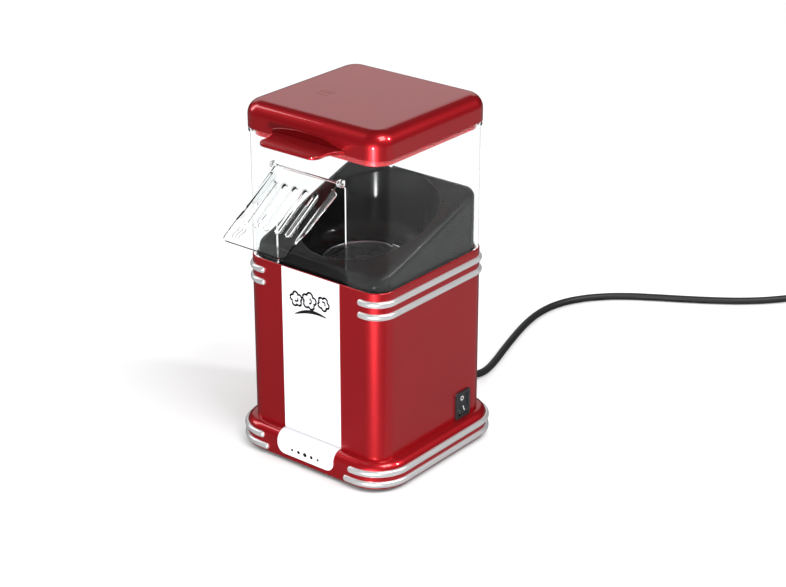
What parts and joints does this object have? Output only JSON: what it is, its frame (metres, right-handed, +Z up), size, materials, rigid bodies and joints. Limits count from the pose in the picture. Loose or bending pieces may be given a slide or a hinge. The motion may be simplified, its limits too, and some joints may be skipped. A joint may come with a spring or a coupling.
{
  "type": "hot-air popcorn maker",
  "caption": "Tabletop hot-air popcorn maker: red housing on a plinth, black bowl over a pot, lift-off clear chamber with a hinged flap, and a lid.",
  "frame": {"origin": "on the table, under the middle of the object's footprint with its flap open and its lid's tab, without the mains lead", "axes": "+Z up out of the lid, front with the flap towards -Y, switch on the +X side"},
  "size_m": [0.3331, 0.7536, 0.304],
  "materials": {
    "red_plastic": "metallic candy red, glossy",
    "white_plastic": "glossy white",
    "satin_trim": "satin metallised strip",
    "gloss_black": "gloss black",
    "black_plastic": "matt black",
    "rocker_plastic": "semi-gloss black",
    "clear_plastic": "clear moulded plastic",
    "rubber": "matt",
    "lead_rubber": "flexible black sheath, satin",
    "aluminium": "spun, bright",
    "zinc_steel": "zinc plated",
    "bright_steel": "bright",
    "mica": "mica sheet",
    "nichrome": "oxidised wire",
    "fan_plastic": "glass-filled nylon",
    "copper_winding": "enamelled copper",
    "ferrite": "ferrite",
    "bronze": "plain",
    "circuit_board": "solder mask",
    "nylon": "natural nylon"
  },
  "bodies": {
    "base": {"plinth": "red_plastic", "bottom_plate": "black_plastic", "rubber_feet": "rubber", "base_screws": "zinc_steel", "body_shell": "red_plastic", "body_screws": "zinc_steel", "front_stripe": "white_plastic", "badge_plate": "white_plastic", "body_trim_upper": "satin_trim", "body_trim_lower": "satin_trim", "plinth_trim_upper": "satin_trim", "plinth_trim_lower": "satin_trim", "bowl_deck": "gloss_black", "popping_pot": "aluminium", "heater_can": "zinc_steel", "mica_frame": "mica", "heating_coil": "nichrome", "thermostat": "zinc_steel", "thermal_fuse": "white_plastic", "fan_housing": "black_plastic", "fan_screws": "zinc_steel", "motor_can": "bright_steel", "motor_magnets": "ferrite", "motor_end_cap": "black_plastic", "motor_bushes": "bronze", "motor_screws": "zinc_steel", "rectifier_board": "circuit_board", "rectifier_diodes": "black_plastic", "switch_case": "black_plastic", "switch_terminals": "bronze", "lead_bushing": "lead_rubber", "lead_clamp": "black_plastic", "clamp_screws": "zinc_steel", "terminal_block": "nylon", "wiring": "lead_rubber", "lead_run": "lead_rubber", "lead_coil": "lead_rubber", "lead_tail": "lead_rubber", "lead_tie": "black_plastic", "plug_body": "lead_rubber", "plug_pins": "bright_steel"},
    "cover": {"clear_chamber": "clear_plastic"},
    "flap": {"flap": "clear_plastic"},
    "lid": {"lid": "red_plastic"},
    "rocker": {"switch_rocker": "rocker_plastic"},
    "rotor": {"fan_wheel": "fan_plastic", "motor_shaft": "bright_steel", "armature": "copper_winding"}
  },
  "joints": [
    {"name": "cover_lift", "type": "slide", "parent": "base", "child": "cover", "axis": [0, 0, 1], "range_m": [0, 0.07]},
    {"name": "lid_lift", "type": "slide", "parent": "cover", "child": "lid", "axis": [0, 0, 1], "range_m": [0, 0.04]},
    {"name": "flap_hinge", "type": "hinge", "parent": "cover", "child": "flap", "pos_m": [0, -0.046, 0.258], "axis": [1, 0, 0], "range_deg": [-34, 56]},
    {"name": "power_rocker", "type": "hinge", "parent": "base", "child": "rocker", "pos_m": [0.07, 0.0639, 0.0372], "axis": [0, 1, 0], "range_deg": [0, 24]},
    {"name": "fan_spin", "type": "hinge", "parent": "base", "child": "rotor", "pos_m": [0, 0.0262, 0.06], "axis": [0, 0, 1], "continuous": true}
  ]
}
